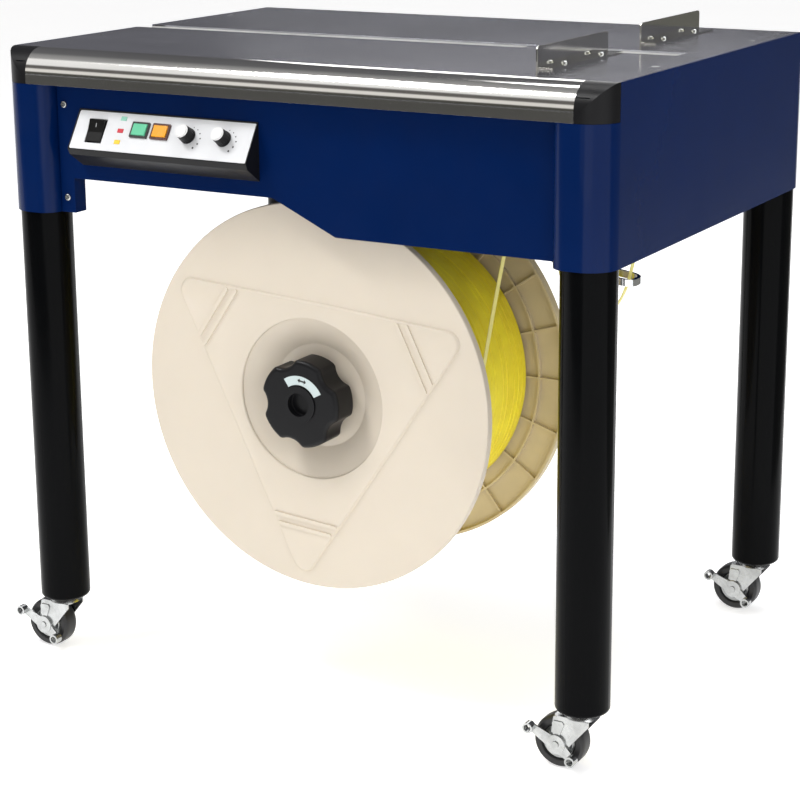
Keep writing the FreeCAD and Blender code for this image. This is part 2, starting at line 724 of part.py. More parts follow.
def reel_front_flange():
    """Outer flange: dished disc with a raised triangle, and the front half of the drum."""
    y = FRONT_Y
    flat = y + DISH_DEPTH
    outline = [
        (SHAFT_R + FIT, flat), (DISH_FLAT_R, flat), (DISH_R, y), (REEL_R - 1.5, y), (REEL_R, y + 1.5),
        (REEL_R, y + 9), (REEL_R - 3, y + 9), (REEL_R - 3, y + 4), (CORE_R - 0.5, y + 4),
        (CORE_R - 0.5, -153.0), (CORE_R - 3.5, -153.0), (CORE_R - 3.5, y + 4), (DISH_R + 1.5, y + 4),
        (DISH_FLAT_R + 1.5, flat + 4), (17.0, flat + 4), (17.0, -205.0), (SHAFT_R + FIT, -205.0),
    ]
    flange = turned(outline, REEL_X, REEL_Z)
    raised = triangle_plate(TRIANGLE_REACH, y - TRIANGLE_H)
    raised = raised.cut(rod_y(y - 5, y + 5, REEL_X, REEL_Z, DISH_R + 1.5))
    for degrees in TRIANGLE_DEGREES:
        turn = FreeCAD.Rotation(Y_AXIS, 90 - degrees)
        for reach in (146.0, 156.0):
            rib = box(-80, 80, y - TRIANGLE_H - RIB_H, y, reach, reach + 2.6)
            place = FreeCAD.Placement(V(REEL_X, 0, REEL_Z), turn)
            rib = rib.transformed(place.toMatrix())
            raised = raised.fuse(rib.common(triangle_plate(TRIANGLE_REACH - 6, y - TRIANGLE_H - RIB_H)))
    return flange.fuse(raised).removeSplitter()


def reel_rear_flange():
    """Inner flange: disc stiffened by spokes and a ring, and the rear half of the drum."""
    y = REAR_Y
    outline = [
        (SHAFT_R + FIT, y + 4), (REEL_R, y + 4), (REEL_R, y - 8), (REEL_R - 3, y - 8), (REEL_R - 3, y),
        (189.0, y), (189.0, y - 4), (186.5, y - 4), (186.5, y), (CORE_R - 0.5, y), (CORE_R - 0.5, -152.0),
        (CORE_R - 3.5, -152.0), (CORE_R - 3.5, y), (24.0, y), (24.0, y - 14), (SHAFT_R + FIT, y - 14),
    ]
    flange = turned(outline, REEL_X, REEL_Z)
    spokes = []
    for i in range(21):
        spoke = box(CORE_R - 1, REEL_R - 2, y - 4, y + 0.5, -1.1, 1.1)
        turn = FreeCAD.Rotation(Y_AXIS, 360.0 * i / 21)
        place = FreeCAD.Placement(V(REEL_X, 0, REEL_Z), turn)
        spokes.append(spoke.transformed(place.toMatrix()))
    return flange.fuse(spokes)


def strap_coil():
    """Wound strap between the flanges, as one ring."""
    y0 = FRONT_Y + 5
    y1 = REAR_Y - 5
    ring = rod_y(y0, y1, REEL_X, REEL_Z, COIL_R)
    return ring.cut(rod_y(y0 - 1, y1 + 1, REEL_X, REEL_Z, CORE_R))


def reel_shaft():
    """Fixed spindle with the collar that the rear flange runs against."""
    shaft = rod_y(KNOB_BACK - 24, -28.0, REEL_X, REEL_Z, SHAFT_R)
    return shaft.fuse(rod_y(-43.6, -28.0, REEL_X, REEL_Z, 17.0))


def reel_knob():
    """Five-lobed hand nut on the end of the spindle."""
    depth = KNOB_BACK - KNOB_FRONT
    body = rod_y(KNOB_FRONT, KNOB_BACK - 6, REEL_X, REEL_Z, KNOB_R)
    valley_r = 22.0
    for i in range(5):
        angle = math.radians(KNOB_TURN + 72 * i)
        x = REEL_X + (KNOB_R + 15.0) * math.cos(angle)
        z = REEL_Z + (KNOB_R + 15.0) * math.sin(angle)
        body = body.cut(rod_y(KNOB_FRONT - 1, KNOB_BACK, x, z, valley_r))
    corners = [e for e in body.Edges if e.BoundBox.YLength > 30 and e.BoundBox.XLength < 0.01]
    body = body.makeFillet(7.0, corners)
    body = body.makeFillet(5.0, [e for e in body.Edges if e.BoundBox.YMax < KNOB_FRONT + 0.1])
    body = body.cut(rod_y(KNOB_FRONT - 1, KNOB_FRONT + 8, REEL_X, REEL_Z, 14.0))
    body = body.fuse(rod_y(KNOB_BACK - 6, KNOB_BACK + 4, REEL_X, REEL_Z, 22.0))
    bore = depth - 9.5
    return body.cut(rod_y(KNOB_BACK + 5 - bore, KNOB_BACK + 5, REEL_X, REEL_Z, SHAFT_R + FIT))


def reel_bracket():
    """Hanger plate with stiffening edges, bolted under the tray, that carries the spindle."""
    x0 = REEL_X - 55
    x1 = REEL_X + 55
    outline = [(x0, TRAY_Z, 0), (x0, 420, 20), (REEL_X - 32, 322, 30), (REEL_X + 32, 322, 30),
               (x1, 420, 20), (x1, TRAY_Z, 0)]
    plate = slab(outline, in_xz(-28.0), V(0, 6, 0))
    top = box(x0, x1, -28, 20, TRAY_Z - 6, TRAY_Z)
    ribs = [box(x, x + 5, -28, 10, 425, TRAY_Z) for x in (x0, x1 - 5)]
    boss = rod_y(-22.0, -6.0, REEL_X, REEL_Z, 24.0)
    return plate.fuse([top, boss] + ribs)


# ======== strap path ========

def strap_run():
    """Strap from the coil over the guide roller, down in a loop through the dancer arm, and up
    past the feed roller to the sealing head."""
    centres = [
        (179.8, -186.0, 350.0), (182.5, -168.0, 410.0), (187.5, -138.0, 510.0),
        (191.5, -113.0, 590.0), (193.6, GUIDE_Y, 640.0), (199.0, GUIDE_Y, 653.0),
        (GUIDE_X, GUIDE_Y, 658.4), (225.0, GUIDE_Y, 653.0), (230.4, GUIDE_Y, 640.0),
        (231.0, GUIDE_Y, 590.0), (232.0, -82.0, 520.0), (239.0, -55.0, 462.0), (256.0, -33.0, 438.0),
        (277.0, -21.0, 457.0), (290.0, -16.0, 488.0), (298.0, STRAP_Y, 530.0),
        (303.0, STRAP_Y, 590.0), (305.0, STRAP_Y, 645.0), (305.0, STRAP_Y, FEED_Z),
        (297.0, STRAP_Y, 692.5), (278.0, STRAP_Y, 703.0), (252.0, STRAP_Y, 714.0),
        (230.0, STRAP_Y, 733.0), (213.0, STRAP_Y, 743.0),
    ]
    route = Part.BSplineCurve()
    route.interpolate([V(*centre) for centre in centres])
    sections = []
    for middle in route.discretize(Number=140):
        along = route.tangent(route.parameter(middle))[0]
        along.y = 0
        along.normalize()
        side = V(-along.z, 0, along.x) * (STRAP_T / 2)
        wide = V(0, STRAP_W / 2, 0)
        corners = [middle + side + wide, middle - side + wide, middle - side - wide, middle + side - wide]
        sections.append(Part.makePolygon(corners + corners[:1]))
    return Part.makeLoft(sections, True, True)


def guide_roller():
    """Flanged roller on its own pin."""
    y0 = GUIDE_Y - 8.0
    y1 = GUIDE_Y + 8.0
    roller = rod_y(y0, y1, GUIDE_X, GUIDE_Z, GUIDE_R)
    for y in (y0, y1 - 1.5):
        roller = roller.fuse(rod_y(y, y + 1.5, GUIDE_X, GUIDE_Z, GUIDE_R + 4.0))
    return roller.fuse(rod_y(y0 - 5, y1 + 5, GUIDE_X, GUIDE_Z, 4.0))


def dancer_arm():
    """U-shaped bar that takes up the slack of the strap, bent down and then level."""
    side = [
        (DANCER_X - 7, DANCER_Z + 6, 5), (DANCER_X + 7, DANCER_Z + 6, 5), (214, 504, 12), (302, 492, 0),
        (302, 484, 0), (208, 496, 12), (DANCER_X - 7, DANCER_Z - 6, 5),
    ]
    y0 = STRAP_Y - 19
    y1 = STRAP_Y + 19
    bar = slab(side, in_xz(y0), V(0, y1 - y0, 0))
    outer = slab([(DANCER_X - 9, y0, 0), (302, y0, 15), (302, y1, 15), (DANCER_X - 9, y1, 0)],
                 in_xy(470), V(0, 0, 140))
    inner = slab([(DANCER_X - 10, y0 + 4, 0), (298, y0 + 4, 11), (298, y1 - 4, 11),
                  (DANCER_X - 10, y1 - 4, 0)], in_xy(469), V(0, 0, 142))
    return bar.common(outer.cut(inner)).fuse(rod_y(y0 - 8, y1 + 8, DANCER_X, DANCER_Z, 4.0))


def feed_roller():
    """Rubber-faced drive roller with its shaft."""
    roller = rod_y(STRAP_Y - 11, STRAP_Y + 11, FEED_X, FEED_Z, FEED_R)
    return roller.fuse(rod_y(STRAP_Y - 22, STRAP_Y + 30, FEED_X, FEED_Z, 5.0))


def pinch_roller():
    """Idler that presses the strap on the feed roller."""
    roller = rod_y(STRAP_Y - 11, STRAP_Y + 11, PINCH_X, FEED_Z, PINCH_R)
    return roller.fuse(rod_y(STRAP_Y - 22, STRAP_Y + 22, PINCH_X, FEED_Z, 4.0))


# ======== sealing head ========

def base_tray():
    """Folded tray between the cross rails, with upright ears for the rollers and the dancer."""
    tray = box(TRAY_X0, TRAY_X1, -TRAY_Y, TRAY_Y, TRAY_Z, TRAY_Z + TRAY_T)
    for y0 in (-TRAY_Y, TRAY_Y - 3):
        tray = tray.fuse(box(TRAY_X0, TRAY_X1, y0, y0 + 3, TRAY_Z, RAIL_TOP - 4))
    ears = []
    for y in (GUIDE_Y - 13.0, GUIDE_Y + 10.0):
        ear = box(GUIDE_X - 10, GUIDE_X + 10, y, y + 3, TRAY_Z, GUIDE_Z + 9)
        ears.append(ear.cut(rod_y(y - 1, y + 4, GUIDE_X, GUIDE_Z, 4.0 + FIT)))
    for y in (STRAP_Y - 19, STRAP_Y + 15):
        ear = box(FEED_X - 12, PINCH_X + 9, y, y + 4, TRAY_Z, FEED_Z + 12)
        ear = ear.cut(rod_y(y - 1, y + 5, FEED_X, FEED_Z, 5.0 + FIT))
        ears.append(ear.cut(rod_y(y - 1, y + 5, PINCH_X, FEED_Z, 4.0 + FIT)))
    for y in (STRAP_Y - 24, STRAP_Y + 20):
        ear = box(DANCER_X - 10, DANCER_X + 10, y, y + 4, DANCER_Z - 10, TRAY_Z)
        ears.append(ear.cut(rod_y(y - 1, y + 5, DANCER_X, DANCER_Z, 4.0 + FIT)))
    tray = tray.fuse(ears)
    strap_gaps = [
        box(186, 202, GUIDE_Y - 20, GUIDE_Y + 4, TRAY_Z - 1, TRAY_Z + TRAY_T + 1),
        box(223, 239, GUIDE_Y - 9, GUIDE_Y + 9, TRAY_Z - 1, TRAY_Z + TRAY_T + 1),
        box(296, 312, STRAP_Y - 9, STRAP_Y + 9, TRAY_Z - 1, TRAY_Z + TRAY_T + 1),
    ]
    for gap in strap_gaps:
        tray = tray.cut(gap)
    return tray.removeSplitter()


def head_block():
    """Two bearing walls, tied at the top, that guide the grippers and the press head."""
    x0 = SLIDE_X0 + 0.5
    x1 = SLIDE_X1 - 0.5
    top = TABLE_H - 5.6
    base = TRAY_Z + TRAY_T
    outline = [(STRAP_Y - 17, base, 0), (STRAP_Y + 17, base, 0), (STRAP_Y + 17, 700, 0),
               (STRAP_Y + 47, 724, 0), (STRAP_Y + 47, top, 0), (STRAP_Y - 17, top, 0)]
    block = None
    for x in (x0, x1 - HEAD_WALL):
        wall = slab(outline, in_yz(x), V(HEAD_WALL, 0, 0))
        wall = wall.cut(rod_x(x - 1, x + HEAD_WALL + 1, STRAP_Y, CAM_Z, CAM_SHAFT_R + FIT))
        block = wall if block is None else block.fuse(wall)
    for y in (STRAP_Y - 17, STRAP_Y + 12.5):
        block = block.fuse(box(x0, x1, y, y + 4.5, 676, 738))
    return block


def press_head():
    """Middle block, lifted against the slide plate."""
    body = box(168.5, 189.5, STRAP_Y - 12, STRAP_Y + 12, 664, 739)
    return body.fuse(box(175, 183, STRAP_Y - 6, STRAP_Y + 6, 648, 664))


def grippers():
    """Left and right clamping blocks on a common yoke."""
    left = box(155, 167.5, STRAP_Y - 12, STRAP_Y + 12, 648, 739)
    right = box(190.5, 203, STRAP_Y - 12, STRAP_Y + 12, 648, 739)
    yoke = box(155, 203, STRAP_Y - 12, STRAP_Y - 7, 648, 655)
    return left.fuse([right, yoke])


def slide_plate():
    """Hard plate in the channel gap that the strap is sealed against."""
    z1 = RAIL_TOP - 0.3
    return box(SLIDE_X0 + 1, SLIDE_X1 - 1, CHANNEL_FRONT + 0.6, CHANNEL_REAR - 0.6, z1 - 3, z1)


def camshaft():
    """Shaft with three eccentric cams, driven from its left end."""
    shaft = rod_x(126.0, 214.0, STRAP_Y, CAM_Z, CAM_SHAFT_R)
    for x, degrees in ((161.0, 0), (179.0, 120), (197.0, 0)):
        angle = math.radians(degrees - 90)
        y = STRAP_Y + 2.0 * math.cos(angle)
        z = CAM_Z + 2.0 * math.sin(angle)
        shaft = shaft.fuse(rod_x(x - 4, x + 4, y, z, 12.0))
    return shaft


def drive_motor():
    """Worm gearbox over the camshaft's left end, with the motor behind it."""
    gearbox = slab([(70, 612, 4), (140, 612, 4), (140, 676, 10), (70, 676, 10)], in_xz(STRAP_Y - 32),
                   V(0, 64, 0))
    gearbox = gearbox.cut(rod_x(124, 141, STRAP_Y, CAM_Z, CAM_SHAFT_R + FIT))
    motor = rod_y(STRAP_Y + 32, STRAP_Y + 150, 105, 652, 38)
    for i in range(9):
        y = STRAP_Y + 46 + 10 * i
        motor = motor.fuse(rod_y(y, y + 3, 105, 652, 40))
    return gearbox.fuse(motor)


# ======== output ========

def main():
    os.makedirs("parts", exist_ok=True)
    write("table_top", bracket_screw_holes(table_top()))
    write("table_screws", *table_screws())
    write("strap_channel_left", *channel_part(-HALF_L, SLIDE_X0))
    write("strap_channel_right", *channel_part(SLIDE_X1, CHANNEL_END), channel_end_stop())
    write("right_side_panel", right_side_panel())
    write("left_side_panel", left_side_panel())
    write("front_panel", front_panel())
    write("rear_panel", rear_panel())
    write("pan_screws", *pan_screws())
    write("frame_side_rails", *frame_side_rails())
    write("frame_cross_rails", *frame_cross_rails())
    write("stop_bracket_front", stop_bracket(STOP_FRONT_Y))
    write("stop_bracket_rear", stop_bracket(STOP_REAR_Y))
    write("console_housing", console_housing())
    write("console_face", console_face())
    write("indicator_lamps", *indicator_lamps())
    write("rocker_switch", rocker_switch())
    for node in BUTTONS:
        write(node, push_button(node))
    for node in KNOBS:
        write(node, dial_knob(node))
    stems = []
    for corner, flip_x, flip_y in CORNERS:
        write("corner_cap_" + corner, mirrored(corner_cap(), flip_x, flip_y))
        write("leg_" + corner, mirrored(leg(), flip_x, flip_y))
        stems.append(mirrored(caster_stem(), flip_x, flip_y))
        cx = -LEG_X if flip_x else LEG_X
        cy = LEG_Y if flip_y else -LEG_Y
        write("caster_fork_" + corner, caster_fork(cx, cy))
        write("caster_wheel_" + corner, caster_wheel(cx, cy))
        write("brake_lever_" + corner, brake_lever(cx, cy))
    write("caster_stems", *stems)
    write("reel_front_flange", reel_front_flange())
    write("reel_rear_flange", reel_rear_flange())
    write("strap_coil", strap_coil())
    write("reel_shaft", reel_shaft())
    write("reel_knob", reel_knob())
    write("reel_bracket", reel_bracket())
    write("strap_run", strap_run())
    write("guide_roller", guide_roller())
    write("dancer_arm", dancer_arm())
    write("feed_roller", feed_roller())
    write("pinch_roller", pinch_roller())
    write("base_tray", base_tray())
    write("head_block", head_block())
    write("press_head", press_head())
    write("grippers", grippers())
    write("slide_plate", slide_plate())
    write("camshaft", camshaft())
    write("drive_motor", drive_motor())


main()
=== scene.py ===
"""Looks of the semi automatic strapping machine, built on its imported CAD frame. Metres."""
import bmesh
import bpy
import json
import math
import random
from mathutils import Matrix, Vector


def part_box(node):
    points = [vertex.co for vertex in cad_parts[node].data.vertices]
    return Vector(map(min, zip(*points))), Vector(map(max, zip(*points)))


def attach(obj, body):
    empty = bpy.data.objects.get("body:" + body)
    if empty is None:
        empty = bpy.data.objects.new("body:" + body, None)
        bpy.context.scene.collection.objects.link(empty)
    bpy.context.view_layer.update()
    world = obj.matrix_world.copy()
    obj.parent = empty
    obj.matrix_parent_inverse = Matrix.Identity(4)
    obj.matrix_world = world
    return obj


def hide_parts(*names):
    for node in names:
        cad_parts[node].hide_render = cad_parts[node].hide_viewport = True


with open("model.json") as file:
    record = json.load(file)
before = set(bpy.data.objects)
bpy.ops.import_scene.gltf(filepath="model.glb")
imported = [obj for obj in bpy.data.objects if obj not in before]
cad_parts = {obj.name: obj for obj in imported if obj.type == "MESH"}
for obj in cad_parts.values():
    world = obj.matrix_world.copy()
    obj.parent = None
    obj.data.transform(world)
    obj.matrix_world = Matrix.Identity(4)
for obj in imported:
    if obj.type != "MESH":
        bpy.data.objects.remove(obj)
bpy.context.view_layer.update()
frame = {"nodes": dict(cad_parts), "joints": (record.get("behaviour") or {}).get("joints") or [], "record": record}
NODES = frame["nodes"]
RECORD = frame["record"]
NODE_BODY = {node: body for body, members in RECORD["behaviour"]["bodies"].items() for node in members}
NODE_SLOT = {row["node"]: row["material_slot"] for row in RECORD["subparts"]}
JOINTS = {joint["name"]: joint for joint in frame["joints"]}
CORNERS = ("front_left", "front_right", "rear_left", "rear_right")
MM = 0.001
X_AXIS = Vector((1, 0, 0))
BRACKETS = ("stop_bracket_front", "stop_bracket_rear")
KNOBS = ("feed_knob", "tension_knob")


# ======== materials ========

def fill_ramp(node, stops):
    """Sets a colour ramp node to a list of (position, colour)."""
    elements = node.color_ramp.elements
    while len(elements) < len(stops):
        elements.new(0.5)
    for element, (position, colour) in zip(elements, stops):
        element.position = position
        element.color = (*colour, 1.0)


class Shader:
    """A material's node tree with short helpers."""

    def __init__(self, name):
        self.material = bpy.data.materials.new(name)
        self.material.use_nodes = True
        self.nodes = self.material.node_tree.nodes
        self.links = self.material.node_tree.links
        self.bsdf = self.nodes["Principled BSDF"]
        self.place = self.nodes.new("ShaderNodeTexCoord").outputs["Object"]

    def stretched(self, scale):
        """Object coordinates with their own scale along each axis."""
        mapping = self.nodes.new("ShaderNodeMapping")
        mapping.inputs["Scale"].default_value = scale
        self.links.new(self.place, mapping.inputs["Vector"])
        return mapping.outputs["Vector"]

    def noise(self, scale, detail=3.0, rough=0.5, stretch=None):
        node = self.nodes.new("ShaderNodeTexNoise")
        node.inputs["Scale"].default_value = scale
        node.inputs["Detail"].default_value = detail
        node.inputs["Roughness"].default_value = rough
        self.links.new(self.stretched(stretch) if stretch else self.place, node.inputs["Vector"])
        return node.outputs["Fac"]

    def ramp(self, factor, stops):
        """Colour that follows a factor through (position, colour) stops."""
        node = self.nodes.new("ShaderNodeValToRGB")
        fill_ramp(node, stops)
        self.links.new(factor, node.inputs["Fac"])
        return node.outputs["Color"]

    def spread(self, factor, low, high):
        """Maps the middle of a noise factor to a range."""
        node = self.nodes.new("ShaderNodeMapRange")
        node.inputs["From Min"].default_value = 0.3
        node.inputs["From Max"].default_value = 0.7
        node.inputs["To Min"].default_value = low
        node.inputs["To Max"].default_value = high
        self.links.new(factor, node.inputs["Value"])
        return node.outputs["Result"]

    def bump(self, height, strength, distance):
        """Adds a bump on top of the bumps that are already there."""
        node = self.nodes.new("ShaderNodeBump")
        node.inputs["Strength"].default_value = strength
        node.inputs["Distance"].default_value = distance
        self.links.new(height, node.inputs["Height"])
        before = self.bsdf.inputs["Normal"].links
        if before:
            self.links.new(before[0].from_socket, node.inputs["Normal"])
        self.links.new(node.outputs["Normal"], self.bsdf.inputs["Normal"])

    def feed(self, socket, value):
        self.links.new(value, self.bsdf.inputs[socket])

    def fixed(self, **values):
        """Values that are the same all over, set on the shader's own sockets."""
        for name, value in values.items():
            self.bsdf.inputs[name.replace("_", " ")].default_value = value

    def clouded(self, colour, vary, scale=6.0):
        """Base colour that drifts softly round its mean."""
        low = tuple(min(1.0, c * (1 - vary)) for c in colour)
        high = tuple(min(1.0, c * (1 + vary)) for c in colour)
        self.feed("Base Color", self.ramp(self.noise(scale, 4.0, 0.6), [(0.3, low), (0.7, high)]))


def painted(name, colour, rough, peel=0.2, shine=0.5, coat=0.0, vary=0.08):
    """Sprayed sheet: soft blotches and a fine orange peel."""
    shader = Shader(name)
    shader.clouded(colour, vary)
    shader.feed("Roughness", shader.spread(shader.noise(22.0, 5.0), rough - 0.04, rough + 0.05))
    shader.fixed(Specular_IOR_Level=shine, Coat_Weight=coat, Coat_Roughness=0.04)
    shader.bump(shader.noise(600.0, 2.0), peel, 0.00008)
    return shader.material


def moulded(name, colour, rough, grain=0.3, grain_scale=900.0, vary=0.06, shine=0.5):
    """Moulded plastic: slight cloudiness in the colour and a fine surface grain."""
    shader = Shader(name)
    shader.fixed(Specular_IOR_Level=shine)
    shader.clouded(colour, vary, 9.0)
    shader.feed("Roughness", shader.spread(shader.noise(35.0, 4.0), rough - 0.05, rough + 0.05))
    shader.bump(shader.noise(grain_scale, 3.0), grain, 0.0001)
    return shader.material


def metal(name, colour, rough, stretch, line=0.2, vary=0.10, blotch=5.0, metallic=1.0):
    """Bare metal with fine lines drawn along one axis by stretched noise."""
    shader = Shader(name)
    lines = shader.noise(1.0, 6.0, 0.7, stretch)
    shader.clouded(colour, vary, blotch)
    shader.feed("Roughness", shader.spread(lines, rough * 0.8, rough * 1.25))
    shader.fixed(Metallic=metallic)
    shader.bump(lines, line, 0.00003)
    return shader.material


def strap_plastic(name, colour):
    """Polypropylene strap: glossy, slightly clear, with a fine crossed emboss."""
    shader = Shader(name)
    shader.clouded(colour, 0.10, 26.0)
    shader.feed("Roughness", shader.spread(shader.noise(120.0, 3.0), 0.30, 0.44))
    shader.fixed(Subsurface_Weight=0.06, Subsurface_Radius=(0.004, 0.003, 0.001))
    emboss = shader.nodes.new("ShaderNodeTexVoronoi")
    emboss.inputs["Scale"].default_value = 700.0
    shader.links.new(shader.place, emboss.inputs["Vector"])
    shader.bump(emboss.outputs["Distance"], 0.35, 0.0002)
    return shader.material


def cream_plastic():
    """Pale moulded flange with faint flow marks."""
    shader = Shader("cream_moulding")
    shader.clouded((0.68, 0.605, 0.50), 0.035, 4.0)
    shader.feed("Roughness", shader.spread(shader.noise(14.0, 5.0), 0.38, 0.50))
    shader.fixed(Subsurface_Weight=0.08, Subsurface_Radius=(0.006, 0.004, 0.002))
    shader.bump(shader.noise(420.0, 2.0), 0.12, 0.0001)
    return shader.material


MATERIALS = {
    "stainless": metal("stainless_plate", (0.68, 0.68, 0.74), 0.13, (6.0, 500.0, 500.0), 0.05, 0.22, 3.5),
    "channel_steel": metal("channel_steel", (0.70, 0.70, 0.69), 0.35, (6.0, 700.0, 700.0), metallic=0.5),
    "zinc_steel": metal("zinc_steel", (0.50, 0.51, 0.51), 0.24, (110.0, 110.0, 110.0), 0.25, 0.20, 60.0),
    "blue_paint": painted("blue_paint", (0.0003, 0.0112, 0.0700), 0.22, 0.06, 0.08, coat=0.12),
    "black_paint": painted("black_paint", (0.0020, 0.0022, 0.0026), 0.16, 0.04, 0.05),
    "grey_frame": painted("grey_frame", (0.15, 0.16, 0.17), 0.45),
    "black_plastic": moulded("black_plastic", (0.006, 0.006, 0.007), 0.36, shine=0.2),
    "black_gloss": moulded("black_gloss", (0.006, 0.006, 0.006), 0.22, 0.1, shine=0.3),
    "white_face": moulded("white_face", (0.74, 0.75, 0.77), 0.35, 0.05),
    "lamp_lens": moulded("lamp_green", (0.30, 0.66, 0.52), 0.22, 0.05),
    "green_key": moulded("green_key", (0.115, 0.56, 0.32), 0.25, 0.05),
    "orange_key": moulded("orange_key", (0.92, 0.37, 0.006), 0.25, 0.05),
    "cream_plastic": cream_plastic(),
    "tan_plastic": moulded("tan_plastic", (0.60, 0.50, 0.32), 0.5, 0.3, 600.0, 0.12),
    "yellow_strap": strap_plastic("yellow_strap", (0.96, 0.78, 0.03)),
    "machined_steel": metal("machined_steel", (0.55, 0.55, 0.56), 0.28, (40.0, 600.0, 40.0)),
    "white_nylon": moulded("white_nylon", (0.80, 0.80, 0.76), 0.45),
    "chrome_bar": metal("chrome_bar", (0.74, 0.75, 0.77), 0.09, (60.0, 60.0, 60.0), 0.03),
    "black_rubber": moulded("black_rubber", (0.02, 0.02, 0.02), 0.75, 0.6, 500.0),
    "black_tyre": moulded("black_tyre", (0.011, 0.011, 0.012), 0.42, 0.3, 500.0),
    "motor_paint": painted("motor_paint", (0.05, 0.055, 0.065), 0.4),
}
# Steel of the rolled edges: smoother than the plate, and lighter in colour as a painted highlight.
NOSE_STEEL_PAINTED_HIGHLIGHT = metal("nose_steel_painted_highlight", (0.74, 0.73, 0.71), 0.10, (5.0, 800.0, 800.0), 0.05, 0.05)
BRACKET_STEEL = metal("bracket_steel", (0.80, 0.79, 0.73), 0.10, (300.0, 8.0, 300.0), 0.05, 0.15)
LAMP_RED = moulded("lamp_red", (0.62, 0.04, 0.06), 0.22, 0.05)
LAMP_YELLOW = moulded("lamp_yellow", (0.92, 0.62, 0.05), 0.22, 0.05)
FRAME_BLACK = moulded("key_frame_black", (0.010, 0.010, 0.010), 0.25, 0.05)
FRAME_BROWN = moulded("key_frame_brown", (0.075, 0.014, 0.008), 0.25, 0.05)
MARK_BLACK = moulded("mark_black", (0.012, 0.012, 0.012), 0.5, 0.05)
MARK_GREY = moulded("mark_grey", (0.55, 0.64, 0.64), 0.4, 0.05)
MARK_PALE = moulded("mark_pale", (0.45, 0.46, 0.46), 0.4, 0.05)
CAP_WHITE = moulded("cap_white", (0.78, 0.78, 0.78), 0.3, 0.05)
STRAP_LINE = strap_plastic("strap_line", (0.86, 0.78, 0.24))
HUB_GREY = metal("hub_grey", (0.42, 0.43, 0.43), 0.3, (300.0, 40.0, 300.0), 0.1)


# ======== building pieces ========

def finish_mesh(mesh, angle):
    """Smooth shading with the edges over that angle kept sharp."""
    for polygon in mesh.polygons:
        polygon.use_smooth = True
    mesh.set_sharp_from_angle(angle=math.radians(angle))


def new_piece(name, bm, body, slot, material, angle=35.0):
    """Turns a bmesh in the machine's frame into a piece that rides on a body."""
    mesh = bpy.data.meshes.new(name)
    bmesh.ops.recalc_face_normals(bm, faces=bm.faces)
    bm.to_mesh(mesh)
    bm.free()
    mesh.materials.append(material)
    finish_mesh(mesh, angle)
    piece = bpy.data.objects.new(name, mesh)
    bpy.context.scene.collection.objects.link(piece)
    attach(piece, body)
    return piece


def prism(bm, outline, place, height):
    """A closed outline in the place's own XY, raised along its Z."""
    low = [bm.verts.new(place @ Vector((x, y, 0))) for x, y in outline]
    high = [bm.verts.new(place @ Vector((x, y, height))) for x, y in outline]
    bm.faces.new(low[::-1])
    bm.faces.new(high)
    count = len(outline)
    for i in range(count):
        bm.faces.new((low[i], low[(i + 1) % count], high[(i + 1) % count], high[i]))


def bridge(bm, rows):
    """Faces between neighbouring rows of vertices, closed along the rows and across them."""
    for k, row in enumerate(rows):
        following = rows[(k + 1) % len(rows)]
        for i in range(len(row)):
            j = (i + 1) % len(row)
            bm.faces.new((row[i], row[j], following[j], following[i]))


def ring(bm, outer, inner, place, height):
    """The prism of an outline with a hole; both outlines have the same number of points."""
    rows = []
    for outline, z in ((outer, 0), (outer, height), (inner, height), (inner, 0)):
        rows.append([bm.verts.new(place @ Vector((x, y, z))) for x, y in outline])
    bridge(bm, rows)


def arc(radius, start, end, steps, centre=(0.0, 0.0)):
    """Points on a circle, angles in degrees."""
    angles = [math.radians(start + (end - start) * i / steps) for i in range(steps + 1)]
    return [(centre[0] + radius * math.cos(a), centre[1] + radius * math.sin(a)) for a in angles]


def rounded_box(width, height, radius, steps=4):
    """Outline of a rectangle round the origin with rounded corners."""
    points = []
    for quarter, (sx, sy) in enumerate(((1, 1), (-1, 1), (-1, -1), (1, -1))):
        centre = (sx * (width / 2 - radius), sy * (height / 2 - radius))
        points += arc(radius, 90 * quarter, 90 * quarter + 90, steps, centre)
    return points


def lathe(bm, profile, centre, steps, wander=0.0):
    """Closed (radius, y) profile turned about a line along Y; wander makes it slightly uneven."""
    rows = []
    for k in range(steps):
        angle = 2 * math.pi * k / steps
        extra = wander * math.sin(3 * angle + 1)
        rows.append([bm.verts.new((centre.x + (r + extra) * math.cos(angle), y,
                                   centre.z + (r + extra) * math.sin(angle))) for r, y in profile])
    bridge(bm, rows)


def break_edges(bm, width, angle, segments=2):
    """Bevels every edge that turns by more than the angle."""
    limit = math.radians(angle)
    sharp = [edge for edge in bm.edges if len(edge.link_faces) == 2 and edge.calc_face_angle(0.0) > limit]
    if sharp:
        bmesh.ops.bevel(bm, geom=sharp, offset=width, offset_type="OFFSET", segments=segments, profile=0.5,
                        affect="EDGES", clamp_overlap=True, loop_slide=True)


def middle(node):
    """Middle of a node's box."""
    low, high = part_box(node)
    return (low + high) / 2


def refined(node, width, angle=28.0, segments=2, paint=None):
    """A CAD node's shape with its edges broken, standing in place of the node.

    paint is a pair: a function from a polygon to its material's index, and the materials that
    follow the slot's own.
    """
    bm = bmesh.new()
    bm.from_mesh(NODES[node].data)
    bmesh.ops.remove_doubles(bm, verts=bm.verts, dist=1e-5)
    bmesh.ops.dissolve_limit(bm, angle_limit=math.radians(0.5), verts=bm.verts, edges=bm.edges)
    break_edges(bm, width, angle, segments)
    bmesh.ops.dissolve_degenerate(bm, dist=1e-6, edges=bm.edges)
    slot = NODE_SLOT[node]
    piece = new_piece(node + "_shape", bm, NODE_BODY[node], slot, MATERIALS[slot])
    if paint:
        choose, extra = paint
        for material in extra:
            piece.data.materials.append(material)
        for polygon in piece.data.polygons:
            polygon.material_index = choose(polygon)
    modifier = piece.modifiers.new("weighted", "WEIGHTED_NORMAL")
    modifier.keep_sharp = True
    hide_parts(node)


# ======== casing ========

